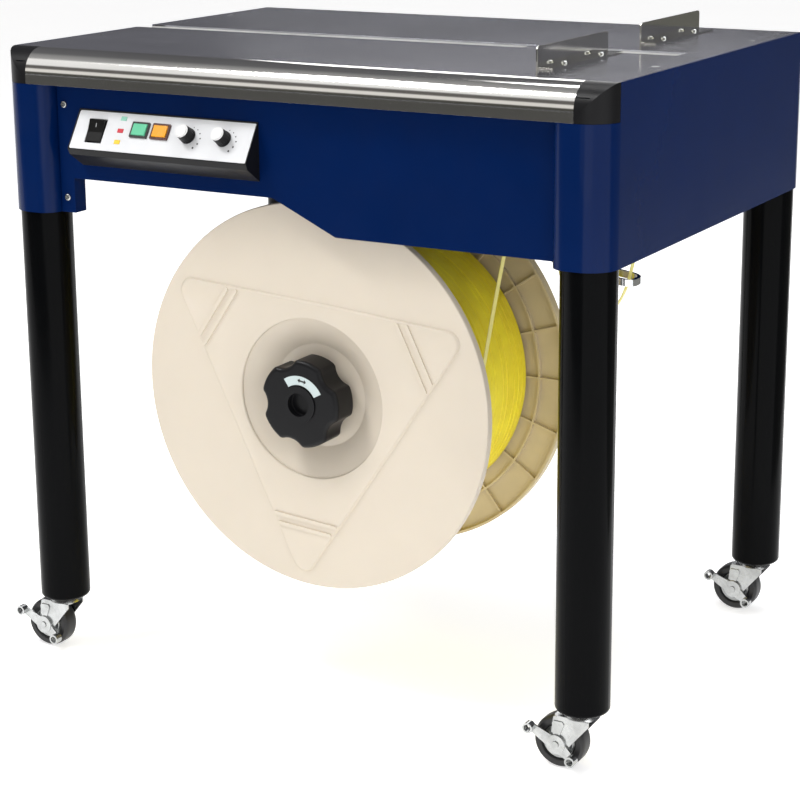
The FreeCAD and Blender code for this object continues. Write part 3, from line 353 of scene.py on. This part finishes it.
EDGE_MM = {
    "stop_bracket_front": 0.35, "stop_bracket_rear": 0.35, "front_panel": 0.45, "left_side_panel": 0.45,
    "right_side_panel": 0.45, "rear_panel": 0.4, "console_housing": 0.6, "console_face": 0.25,
    "dancer_arm": 0.8, "slide_plate": 0.3, "rocker_switch": 0.4, "feed_button": 0.3, "reset_button": 0.3,
}
CASTER_EDGE_MM = {"caster_fork_": 0.4, "brake_lever_": 0.35, "caster_wheel_": 0.6}
NOSE_DEPTH = 30 * MM
NOSE_OVERLAP = 0.2 * MM


def plain_materials():
    """Gives every CAD node the material of its slot."""
    for node, obj in NODES.items():
        obj.data.materials.clear()
        obj.data.materials.append(MATERIALS[NODE_SLOT[node]])
    NODES["strap_run"].data.materials[0] = STRAP_LINE


def broken_edges():
    """Breaks the edges of the sheet parts, the keys and the casters."""
    for node, width in EDGE_MM.items():
        refined(node, width * MM)
    for corner in CORNERS:
        for part, width in CASTER_EDGE_MM.items():
            refined(part + corner, width * MM)


def table_plate():
    """Brushed plate whose rolled edges, front and rear, are polished, and lighter in colour as a painted
    highlight.
    """
    nose_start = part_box("table_top")[1].y - NOSE_DEPTH - NOSE_OVERLAP
    refined("table_top", 0.35 * MM,
            paint=(lambda polygon: int(abs(polygon.center.y) > nose_start), [NOSE_STEEL_PAINTED_HIGHLIGHT]))


def polished_brackets():
    """Gives the stop brackets a steel of their own."""
    for node in BRACKETS:
        bpy.data.objects[node + "_shape"].data.materials[0] = BRACKET_STEEL


plain_materials()
broken_edges()
table_plate()
polished_brackets()


# ======== casters ========

# (radius, distance from the wheel's middle) and (along X, above the axle), in millimetres
HUB_PROFILE = [(10.6, 8.9), (10.6, 9.7), (14.0, 9.8), (14.8, 10.6), (16.4, 10.6), (17.2, 9.8),
               (18.6, 9.7), (18.6, 8.9)]
CHEEK_RIB_OUTLINE = [(-5.0, 24.0), (-3.2, 8.0), (3.2, 8.0), (9.0, 24.0), (7.0, 27.0), (-3.5, 27.0)]
CHEEK_RIB_OUT = 15.9 * MM
CHEEK_RIB_HEIGHT = 1.4 * MM
SEAL_DROP = 1.6 * MM
SEAL_HEIGHT = 1.5 * MM
SEAL_OUTER_R = 16.0 * MM
SEAL_INNER_R = 14.4 * MM
BALL_CIRCLE_R = 15.9 * MM
BALL_R = 0.9 * MM
BALLS = 24


def hub_discs(corner):
    """Pressed steel disc with a raised ring, in the recess on each side of the wheel."""
    centre = middle("caster_wheel_" + corner)
    bm = bmesh.new()
    for side in (-1, 1):
        profile = [(radius * MM, centre.y + side * out * MM) for radius, out in HUB_PROFILE]
        lathe(bm, profile, centre, 64)
    new_piece("hub_discs_" + corner, bm, "caster_wheel_" + corner, "machined_steel", HUB_GREY, 30)


def swivel_bearing(corner):
    """Seal ring and balls that show between the fixed ring and the swivelling race."""
    leg = middle("leg_" + corner)
    stem_bottom = min(v.co.z for v in NODES["caster_stems"].data.vertices)
    bm = bmesh.new()
    place = Matrix.Translation((leg.x, leg.y, stem_bottom - SEAL_DROP))
    ring(bm, arc(SEAL_OUTER_R, 0, 352.5, 47), arc(SEAL_INNER_R, 0, 352.5, 47), place, SEAL_HEIGHT)
    for x, y in arc(BALL_CIRCLE_R, 0, 360 - 360 / BALLS, BALLS - 1, (leg.x, leg.y)):
        spot = Matrix.Translation((x, y, stem_bottom - BALL_R))
        bmesh.ops.create_icosphere(bm, subdivisions=2, radius=BALL_R, matrix=spot)
    new_piece("swivel_bearing_" + corner, bm, "caster_fork_" + corner, "machined_steel", HUB_GREY, 50)


def cheek_ribs(corner):
    """Long embossed rib down the outside of each fork cheek."""
    centre = middle("caster_wheel_" + corner)
    outline = [(x * MM, z * MM) for x, z in CHEEK_RIB_OUTLINE]
    bm = bmesh.new()
    for side in (-1, 1):
        place = Matrix(((1, 0, 0, centre.x), (0, 0, side, centre.y + side * CHEEK_RIB_OUT),
                        (0, 1, 0, centre.z), (0, 0, 0, 1)))
        prism(bm, outline, place, CHEEK_RIB_HEIGHT)
    break_edges(bm, 0.6 * MM, 50, 2)
    new_piece("cheek_ribs_" + corner, bm, "caster_fork_" + corner, "zinc_steel", MATERIALS["zinc_steel"])


for corner in CORNERS:
    hub_discs(corner)
    swivel_bearing(corner)
    cheek_ribs(corner)


# ======== console ========

FACE_OUT = Vector(JOINTS["feed_knob_turn"]["axis"]).normalized()
FACE_UP = FACE_OUT.cross(X_AXIS)
FACE_LEVEL = max(v.co.dot(FACE_OUT) for v in NODES["console_face"].data.vertices)
CAP_DEPTH = 1.25 * MM
MARK_HEIGHT = 0.12 * MM
MARK_OFFSET = 7.2 * MM
FRAME_REACH = 5.2 * MM
FRAME_GAP = 0.8 * MM
FRAME_HEIGHT = 1.9 * MM
# (along X, up the slope) from a dial's middle, in millimetres, clockwise from the top
DIAL_DOTS = [(4.5, 11.0), (10.3, 8.6), (14.6, 4.2), (16.8, -1.6), (15.0, -8.2), (10.5, -13.4)]


def on_face(point):
    """Frame on the console's sloped face: X along the machine, Y up the slope, Z out of it."""
    origin = point + FACE_OUT * (FACE_LEVEL - point.dot(FACE_OUT))
    place = Matrix((X_AXIS, FACE_UP, FACE_OUT)).transposed().to_4x4()
    place.translation = origin
    return place


def height_range(node):
    """Lowest and highest point of a node up the slope of the face."""
    heights = [v.co.dot(FACE_UP) for v in NODES[node].data.vertices]
    return min(heights), max(heights)


def lamps():
    """Three lamps in a column: green over red over yellow."""
    low, high = height_range("indicator_lamps")

    def choose(polygon):
        share = (polygon.center.dot(FACE_UP) - low) / (high - low)
        return 0 if share > 0.67 else 1 if share > 0.33 else 2

    refined("indicator_lamps", 0.3 * MM, paint=(choose, [LAMP_RED, LAMP_YELLOW]))


def dial_knob(node):
    """Black knob with a white cap."""
    cap = max(v.co.dot(FACE_OUT) for v in NODES[node].data.vertices) - CAP_DEPTH
    refined(node, 0.25 * MM, paint=(lambda polygon: int(polygon.center.dot(FACE_OUT) > cap), [CAP_WHITE]))


def dial_dots(node):
    """Dots round a dial that grow from its low end to its high end."""
    centre = Vector(JOINTS[node + "_turn"]["pos_m"])
    bm = bmesh.new()
    for i, (x, y) in enumerate(DIAL_DOTS):
        place = on_face(centre + X_AXIS * x * MM + FACE_UP * y * MM)
        prism(bm, arc((0.55 + 0.12 * i) * MM, 0, 337.5, 15), place, MARK_HEIGHT)
    new_piece(node + "_dots", bm, "root", "black_gloss", MARK_BLACK)


def key_frame(node, material):
    """Raised frame round a push key."""
    low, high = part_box(node)
    width = high.x - low.x
    bottom, top = height_range(node)
    height = top - bottom
    bm = bmesh.new()
    ring(bm, rounded_box(width + FRAME_REACH, height + FRAME_REACH, 1.2 * MM),
         rounded_box(width + FRAME_GAP, height + FRAME_GAP, 0.6 * MM), on_face(middle(node)), FRAME_HEIGHT)
    break_edges(bm, 0.3 * MM, 50)
    new_piece(node + "_frame", bm, "root", "black_gloss", material)


def rocker_marks():
    """An oval ring on the lower half and a bar on the upper half of the switch, just proud of it."""
    axis = Vector(JOINTS["rocker_tilt"]["pos_m"])
    mesh = NODES["rocker_switch"].data
    bm = bmesh.new()
    for upper in (False, True):
        faces = [p for p in mesh.polygons if p.normal.dot(FACE_OUT) > 0.9
                 and ((p.center - axis).dot(FACE_UP) > 3 * MM) == upper]
        face = max(faces, key=lambda p: p.area)
        out = face.normal.copy()
        along = out.cross(X_AXIS)
        place = Matrix((X_AXIS, along, out)).transposed().to_4x4()
        centre = axis + FACE_UP * (MARK_OFFSET if upper else -MARK_OFFSET)
        place.translation = centre + out * (mesh.vertices[face.vertices[0]].co - centre).dot(out)
        if upper:
            prism(bm, rounded_box(0.9 * MM, 4.6 * MM, 0.3 * MM), place, MARK_HEIGHT)
        else:
            circle = arc(1, 0, 345, 23)
            ring(bm, [(x * 2.3 * MM, y * 3.0 * MM) for x, y in circle],
                 [(x * 1.2 * MM, y * 1.9 * MM) for x, y in circle], place, MARK_HEIGHT)
    new_piece("rocker_marks", bm, "rocker_switch", "black_gloss", MARK_PALE)


lamps()
for knob in KNOBS:
    dial_knob(knob)
for knob in KNOBS:
    dial_dots(knob)
key_frame("feed_button", FRAME_BLACK)
key_frame("reset_button", FRAME_BROWN)
rocker_marks()


# ======== reel ========

DISH_R = 91 * MM
DISH_FLAT_R = 59 * MM
DISH_DEPTH = 18 * MM
DRUM_R = 98.5 * MM
DRUM_BORE_R = 95.5 * MM
SHAFT_R = 10 * MM
COIL_GAP = 5 * MM
FLANGE_WALL = 4 * MM
RIM_DEPTH = 9 * MM
RIM_WALL = 3 * MM
RIM_ROUND = 1.6 * MM
LIP_ROUND = 2.2 * MM
FOOT_REACH = 3 * MM
DISH_SLOPE = 0.56
TRIANGLE_REACH = 222 * MM
TRIANGLE_ROUND = 14 * MM
TRIANGLE_DEGREES = (146, 266, 26)
TRIANGLE_H = 3.0 * MM
REEL_RIB_REACHES = (146 * MM, 157 * MM)
REEL_RIB_WIDTH = 4.2 * MM
REEL_RIB_HEIGHT = 1.7 * MM
COIL_LAPS = 20
COIL_WANDER = 0.12 * MM
LABEL_OUTER_R = 33.5 * MM
LABEL_INNER_R = 23 * MM
LABEL_START = 28
LABEL_END = 124
LABEL_SINK = Matrix.Translation((0, 0, -0.05 * MM))


def reel_disc():
    """Front flange: dished disc with rounded lips, and the front half of the drum behind it."""
    low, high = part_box("reel_front_flange")
    centre = (low + high) / 2
    radius = (high.x - low.x) / 2
    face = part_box("strap_coil")[0].y - COIL_GAP
    flat = face + DISH_DEPTH
    back = face + FLANGE_WALL
    rim = [(radius - RIM_ROUND + x, face + RIM_ROUND - y) for x, y in arc(RIM_ROUND, 90, 0, 6)]
    lip = [(DISH_R + LIP_ROUND - x, face + LIP_ROUND - y) for x, y in arc(LIP_ROUND, 60, 90, 4)]
    foot = [(DISH_FLAT_R + FOOT_REACH * t, flat - FOOT_REACH * DISH_SLOPE * t * t)
            for t in (0.0, 0.35, 0.7, 1.0)]
    profile = [(SHAFT_R, flat)] + foot + lip + rim + [
        (radius, face + RIM_DEPTH), (radius - RIM_WALL, face + RIM_DEPTH), (radius - RIM_WALL, back),
        (DRUM_R, back), (DRUM_R, high.y), (DRUM_BORE_R, high.y), (DRUM_BORE_R, back),
        (DISH_R + 1.5 * MM, back), (DISH_FLAT_R + 1.5 * MM, flat + FLANGE_WALL),
        (SHAFT_R, flat + FLANGE_WALL)]
    bm = bmesh.new()
    lathe(bm, profile, centre, 240)
    piece = new_piece("reel_disc", bm, "reel", "cream_plastic", MATERIALS["cream_plastic"], 40)
    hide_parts("reel_front_flange")
    return centre, face


def triangle_radius(degrees):
    """Distance from the reel's centre to the edge of the raised triangle with rounded corners."""
    off = math.radians(min(abs((degrees - corner + 180) % 360 - 180) for corner in TRIANGLE_DEGREES))
    hub = TRIANGLE_REACH - 2 * TRIANGLE_ROUND
    tangent = math.atan2(TRIANGLE_ROUND * math.sin(math.pi / 3), hub + TRIANGLE_ROUND / 2)
    if off < tangent:
        return hub * math.cos(off) + math.sqrt(TRIANGLE_ROUND ** 2 - (hub * math.sin(off)) ** 2)
    return TRIANGLE_REACH / 2 / math.cos(math.pi / 3 - off)


def reel_triangle(centre, face):
    """Raised triangle with sloped sides round the dish."""
    hole = DISH_R + 2.0 * MM
    section = [(2.2 * MM, 0.0), (1.0 * MM, 0.5 * TRIANGLE_H), (-0.4 * MM, 0.88 * TRIANGLE_H),
               (-2.0 * MM, TRIANGLE_H)]
    inner = [(1.6 * MM, TRIANGLE_H), (0.5 * MM, 0.85 * TRIANGLE_H), (0.0, 0.4 * TRIANGLE_H), (0.0, 0.0)]
    start = Vector((centre.x, face, centre.z))
    steps = 720
    bm = bmesh.new()
    rows = []
    for k in range(steps):
        degrees = 360 * k / steps
        reach = triangle_radius(degrees)
        ray = Vector((math.cos(math.radians(degrees)), 0, math.sin(math.radians(degrees))))
        points = [(reach + out, up) for out, up in section] + [(hole + out, up) for out, up in inner]
        rows.append([bm.verts.new(start + ray * r + Vector((0, -up, 0))) for r, up in points])
    bridge(bm, rows)
    new_piece("reel_triangle", bm, "reel", "cream_plastic", MATERIALS["cream_plastic"], 60)


def reel_ribs(centre, face):
    """Two ribs across each corner of the triangle."""
    bm = bmesh.new()
    for degrees in TRIANGLE_DEGREES:
        angle = math.radians(degrees)
        out = Vector((math.cos(angle), 0, math.sin(angle)))
        along = Vector((-math.sin(angle), 0, math.cos(angle)))
        normal = along.cross(out)
        height = REEL_RIB_HEIGHT * (1 if normal.y < 0 else -1)
        for reach in REEL_RIB_REACHES:
            half = (TRIANGLE_REACH - reach) * math.tan(math.pi / 6) - 1.5 * MM
            place = Matrix((along, out, normal)).transposed().to_4x4()
            place.translation = Vector((centre.x, face - TRIANGLE_H, centre.z)) + out * reach
            prism(bm, rounded_box(2 * half, REEL_RIB_WIDTH, 2.0 * MM, 5), place, height)
    break_edges(bm, 1.1 * MM, 50, 3)
    new_piece("reel_ribs", bm, "reel", "cream_plastic", MATERIALS["cream_plastic"], 60)


def wound_coil():
    """Strap laid side by side across the drum, each lap with its own height."""
    random.seed(11)
    low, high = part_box("strap_coil")
    radius = (high.x - low.x) / 2
    pitch = (high.y - low.y) / COIL_LAPS
    profile = [(DRUM_R, low.y)]
    for i in range(COIL_LAPS):
        lap_r = radius - random.uniform(0.1, 1.0) * MM
        y = low.y + i * pitch
        profile += [(lap_r - 0.7 * MM, y + 0.15 * MM), (lap_r, y + 0.5 * MM),
                    (lap_r - 0.1 * MM, y + pitch - 0.5 * MM), (lap_r - 0.7 * MM, y + pitch - 0.15 * MM)]
    profile.append((DRUM_R, high.y))
    bm = bmesh.new()
    lathe(bm, profile, (low + high) / 2, 192, COIL_WANDER)
    piece = new_piece("wound_strap", bm, "reel", "yellow_strap", MATERIALS["yellow_strap"], 50)
    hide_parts("strap_coil")


def knob_front():
    """Frame on the hand nut's front: X right, Y up, Z towards the front."""
    x, _, z = JOINTS["reel_knob_turn"]["pos_m"]
    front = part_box("reel_knob")[0].y
    return Matrix(((1, 0, 0, x), (0, 0, -1, front), (0, 1, 0, z), (0, 0, 0, 1)))


def knob_label(place):
    """Pale arc set slightly into the front of the hand nut."""
    outer = arc(LABEL_OUTER_R, LABEL_START, LABEL_END, 32)
    inner = arc(LABEL_INNER_R, LABEL_END, LABEL_START, 32)
    bm = bmesh.new()
    prism(bm, outer + inner, place @ LABEL_SINK, 0.3 * MM)
    new_piece("knob_label", bm, "reel_knob", "black_plastic", MARK_GREY)


def knob_arrow(place):
    """Double arrow on the label: turn either way."""
    turn = Matrix.Rotation(math.radians(-10), 4, "Z")
    shift = Matrix.Translation((0, 28.2 * MM, 0.25 * MM))
    half, head, stem, wing = 5.8 * MM, 3.0 * MM, 0.9 * MM, 2.7 * MM
    arrow = [(-half, 0), (-half + head, -wing), (-half + head, -stem), (half - head, -stem),
             (half - head, -wing), (half, 0), (half - head, wing), (half - head, stem),
             (-half + head, stem), (-half + head, wing)]
    bm = bmesh.new()
    prism(bm, arrow, place @ turn @ shift, MARK_HEIGHT)
    new_piece("knob_arrow", bm, "reel_knob", "black_plastic", MARK_BLACK)


def knob_hub(place):
    """Raised ring round the hand nut's middle."""
    bm = bmesh.new()
    ring(bm, arc(21.5 * MM, 0, 354, 59), arc(13.6 * MM, 0, 354, 59), place @ LABEL_SINK, 1.6 * MM)
    break_edges(bm, 0.6 * MM, 50, 3)
    new_piece("knob_hub", bm, "reel_knob", "black_plastic", MATERIALS["black_plastic"])


wound_coil()
refined("reel_knob", 0.8 * MM, 50, 3)
nut_front = knob_front()
knob_label(nut_front)
knob_arrow(nut_front)
knob_hub(nut_front)
disc_centre, disc_face = reel_disc()
reel_triangle(disc_centre, disc_face)
reel_ribs(disc_centre, disc_face)
refined("reel_rear_flange", 0.4 * MM, 40, 2)


# ======== stage ========

# Share of the half turn round X, from the back over the top to the front, and the light from there
STUDIO_BANDS = [
    (0.000, (0.34, 0.34, 0.37)), (0.070, (0.38, 0.38, 0.42)), (0.120, (0.30, 0.30, 0.32)),
    (0.420, (0.42, 0.42, 0.44)), (0.500, (0.90, 0.90, 0.90)), (0.600, (1.10, 1.10, 1.10)),
    (0.630, (3.00, 2.98, 2.95)), (0.770, (3.00, 2.98, 2.95)), (0.800, (0.42, 0.40, 0.38)),
    (0.860, (0.42, 0.40, 0.38)), (0.885, (2.70, 2.62, 2.50)), (0.940, (2.70, 2.62, 2.50)),
    (0.960, (0.22, 0.22, 0.19)), (1.000, (0.22, 0.22, 0.19)),
]
WORLD_STRENGTH = 0.34
FLOOR_GLOW = 0.62
FLAG_Z = 0.004
BACKDROP_R = 14.0
BACKDROP_TOP = 9.0
CAMERA_PLACE = (1.217, -2.148, 1.010)
CAMERA_TURN = (29.99, 14.22, 0.43)


def studio_world():
    """Soft boxes overhead and in front, with darker walls, ordered by the angle round the X axis."""
    world = bpy.data.worlds.new("studio")
    bpy.context.scene.world = world
    world.use_nodes = True
    nodes = world.node_tree.nodes
    links = world.node_tree.links
    place = nodes.new("ShaderNodeTexCoord")
    split = nodes.new("ShaderNodeSeparateXYZ")
    links.new(place.outputs["Generated"], split.inputs["Vector"])
    angle = nodes.new("ShaderNodeMath")
    angle.operation = "ARCTAN2"
    links.new(split.outputs["Z"], angle.inputs[0])
    links.new(split.outputs["Y"], angle.inputs[1])
    share = nodes.new("ShaderNodeMath")
    share.operation = "DIVIDE"
    links.new(angle.outputs[0], share.inputs[0])
    share.inputs[1].default_value = math.pi
    ramp = nodes.new("ShaderNodeValToRGB")
    fill_ramp(ramp, STUDIO_BANDS)
    links.new(share.outputs[0], ramp.inputs["Fac"])
    links.new(ramp.outputs["Color"], nodes["Background"].inputs["Color"])
    nodes["Background"].inputs["Strength"].default_value = WORLD_STRENGTH


def paper(name, bm, tone, rough, glow, cloud):
    """Turns a bmesh into a stage sheet of a plain colour that may glow a little."""
    mesh = bpy.data.meshes.new(name)
    bm.to_mesh(mesh)
    bm.free()
    shader = Shader(name + "_paper")
    shader.clouded(tone, 0.02, cloud)
    shader.fixed(Roughness=rough, Emission_Color=(1.0, 1.0, 1.0, 1.0), Emission_Strength=glow)
    mesh.materials.append(shader.material)
    obj = bpy.data.objects.new(name, mesh)
    bpy.context.scene.collection.objects.link(obj)
    return obj


def flat_sheet(name, x0, x1, y0, y1, z, tone, rough, glow=0.0):
    """Level rectangle on the stage."""
    bm = bmesh.new()
    corners = [(x0, y0, z), (x1, y0, z), (x1, y1, z), (x0, y1, z)]
    bm.faces.new([bm.verts.new(corner) for corner in corners])
    return paper(name, bm, tone, rough, glow, 2.0)


def flag(name, x0, x1, y0, y1, tone):
    """Dark sheet on the floor that only reflections show."""
    obj = flat_sheet(name, x0, x1, y0, y1, FLAG_Z, (tone, tone, 0.9 * tone), 0.8)
    obj.visible_camera = False
    obj.visible_diffuse = False
    obj.visible_shadow = False


def backdrop():
    """Pale wall round the stage that only the camera sees."""
    steps = 64
    circle = arc(BACKDROP_R, 0, 360 - 360 / steps, steps - 1)
    bm = bmesh.new()
    low = [bm.verts.new((*point, -0.1)) for point in circle]
    high = [bm.verts.new((*point, BACKDROP_TOP)) for point in circle]
    for i in range(steps):
        bm.faces.new((low[i], low[(i + 1) % steps], high[(i + 1) % steps], high[i]))
    obj = paper("backdrop", bm, (0.90, 0.90, 0.90), 0.9, 0.75, 1.0)
    obj.visible_diffuse = False
    obj.visible_glossy = False
    obj.visible_transmission = False
    obj.visible_shadow = False


def lights():
    """Soft rectangular lights aimed at the middle of the machine."""
    target = Vector((0, 0, 0.45))
    for name, place, size, power in (
        ("key", (-1.3, -1.4, 3.0), (0.9, 0.7), 40.0),
        ("fill", (2.8, -1.6, 1.5), (1.6, 1.2), 15.0),
        ("top", (0.2, 0.3, 3.2), (2.2, 1.4), 60.0),
        ("back", (-1.2, 2.6, 2.0), (1.5, 1.2), 14.0),
        ("low", (0.6, -2.6, 0.5), (2.0, 0.6), 2.0),
    ):
        light = bpy.data.lights.new(name, "AREA")
        light.shape = "RECTANGLE"
        light.size, light.size_y = size
        light.energy = power
        obj = bpy.data.objects.new(name, light)
        bpy.context.scene.collection.objects.link(obj)
        obj.location = place
        obj.rotation_euler = (target - Vector(place)).to_track_quat("-Z", "Y").to_euler()


def camera():
    """Camera at the reference angle; CAMERA_TURN is yaw, pitch and roll in degrees."""
    data = bpy.data.cameras.new("camera")
    data.lens = 92.8
    data.sensor_width = 36.0
    data.shift_y = -0.08
    data.clip_end = 60.0
    obj = bpy.data.objects.new("camera", data)
    bpy.context.scene.collection.objects.link(obj)
    obj.location = CAMERA_PLACE
    yaw, pitch, roll = (math.radians(degrees) for degrees in CAMERA_TURN)
    turn = Matrix.Rotation(yaw, 4, "Z") @ Matrix.Rotation(math.pi / 2 - pitch, 4, "X")
    obj.rotation_euler = (turn @ Matrix.Rotation(-roll, 4, "Z")).to_euler()
    bpy.context.scene.camera = obj


studio_world()
flat_sheet("floor", -15, 15, -15, 15, 0.0, (0.86, 0.86, 0.86), 0.85, FLOOR_GLOW)
flag("front_flag", -11.0, 0.4, -14.0, -1.6, 0.11)
flag("side_flag", 0.9, 12.0, 0.2, 14.0, 0.30)
backdrop()
lights()
camera()
bpy.context.scene.view_settings.view_transform = "Standard"
